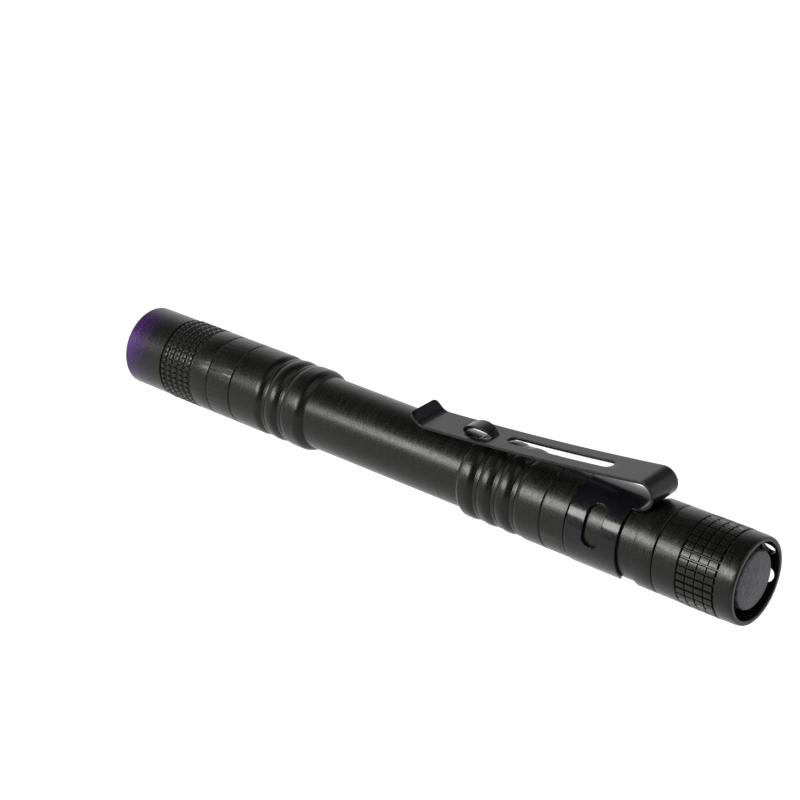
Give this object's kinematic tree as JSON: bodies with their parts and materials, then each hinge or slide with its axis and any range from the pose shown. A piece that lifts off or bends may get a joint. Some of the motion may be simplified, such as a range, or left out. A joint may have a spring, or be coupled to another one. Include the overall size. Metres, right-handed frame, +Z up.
{
  "type": "counterfeit detector pen torch",
  "caption": "Slim black ultraviolet torch for checking banknotes, with a knurled head and tail, ribbed grips, pocket clip and recessed tail button.",
  "frame": {"origin": "middle of the pen's length and width, at the lowest line of the knurled rings it lies on", "axes": "+X from the lens end to the tail button, +Z up through the pocket clip, +Y to the left when looking from tail to lens with the clip up"},
  "size_m": [0.13, 0.0148, 0.019],
  "materials": {
    "black_anodised": "satin black anodising with fine turning marks",
    "clip_steel": "black coated spring steel, glossier than the barrel",
    "boot_rubber": "dark grey moulded rubber, finely grained",
    "seal_rubber": "matt black",
    "lens_glass": "clear, faint violet tint",
    "reflector_metal": "vacuum-plated smooth reflector",
    "gasket_plastic": "white",
    "led_ceramic": "white ceramic",
    "led_silicone": "clear dome with violet glow",
    "board_white": "white solder mask on aluminium",
    "board_green": "green solder mask on glass fibre",
    "chip_black": "moulded component bodies",
    "brass": "turned",
    "spring_steel": "plated spring wire",
    "wire_red": "insulated wire",
    "cell_steel": "nickel-plated can",
    "cell_jacket": "plain shrink sleeve, no marks",
    "cell_washer": "insulating washer",
    "switch_plastic": "moulded",
    "plunger_plastic": "moulded"
  },
  "bodies": {
    "barrel": {"body_tube": "black_anodised", "front_o_ring": "seal_rubber", "rear_o_ring": "seal_rubber", "front_cell_can": "cell_steel", "front_cell_jacket": "cell_jacket", "front_cell_washer": "cell_washer", "front_cell_cap": "cell_steel", "rear_cell_can": "cell_steel", "rear_cell_jacket": "cell_jacket", "rear_cell_washer": "cell_washer", "rear_cell_cap": "cell_steel"},
    "head_carrier": {"driver_spring": "spring_steel"},
    "head": {"head_shell": "black_anodised", "bezel_ring": "black_anodised", "lens_o_ring": "seal_rubber", "lens": "lens_glass", "reflector": "reflector_metal", "led_gasket": "gasket_plastic", "led_package": "led_ceramic", "led_dome": "led_silicone", "led_board": "board_white", "pill": "brass", "lead_wires": "wire_red", "driver_board": "board_green", "driver_parts": "chip_black"},
    "tail_carrier": {"tail_spring": "spring_steel"},
    "tail": {"tail_cap": "black_anodised", "retaining_ring": "brass", "switch_board": "board_green", "switch_body": "switch_plastic", "plunger_spring": "spring_steel", "rubber_boot": "boot_rubber", "switch_spacer": "switch_plastic"},
    "button": {"plunger": "plunger_plastic"},
    "clip": {"clip_clamp": "clip_steel"},
    "clip_leaf": {"clip_arm": "clip_steel"}
  },
  "joints": [
    {"name": "head_travel", "type": "slide", "parent": "barrel", "child": "head_carrier", "axis": [-1, 0, 0], "range_m": [0, 0.004]},
    {"name": "head_turn", "type": "hinge", "parent": "head_carrier", "child": "head", "pos_m": [-0.045, 0, 0.0073], "axis": [-1, 0, 0], "range_deg": [0, 1800]},
    {"name": "tail_travel", "type": "slide", "parent": "barrel", "child": "tail_carrier", "axis": [1, 0, 0], "range_m": [0, 0.004]},
    {"name": "tail_turn", "type": "hinge", "parent": "tail_carrier", "child": "tail", "pos_m": [0.057, 0, 0.0073], "axis": [1, 0, 0], "range_deg": [0, 1800]},
    {"name": "button_press", "type": "slide", "parent": "tail", "child": "button", "axis": [-1, 0, 0], "range_m": [0, 0.0009], "stiffness_N_per_m": 150, "springref_m": -0.004, "deforming": ["rubber_boot", "plunger_spring"]},
    {"name": "clip_swivel", "type": "hinge", "parent": "barrel", "child": "clip", "pos_m": [0.03915, 0, 0.0073], "axis": [1, 0, 0], "continuous": true},
    {"name": "clip_flex", "type": "hinge", "parent": "clip", "child": "clip_leaf", "pos_m": [0.04802, 0, 0.01662], "axis": [0, 1, 0], "range_deg": [0, 5], "stiffness_Nm_per_rad": 0.15, "springref_deg": -2.86}
  ],
  "couplings": [
    {"joint": "head_turn", "follows": "head_travel", "rad_per_m": 7854},
    {"joint": "tail_turn", "follows": "tail_travel", "rad_per_m": 7854}
  ]
}
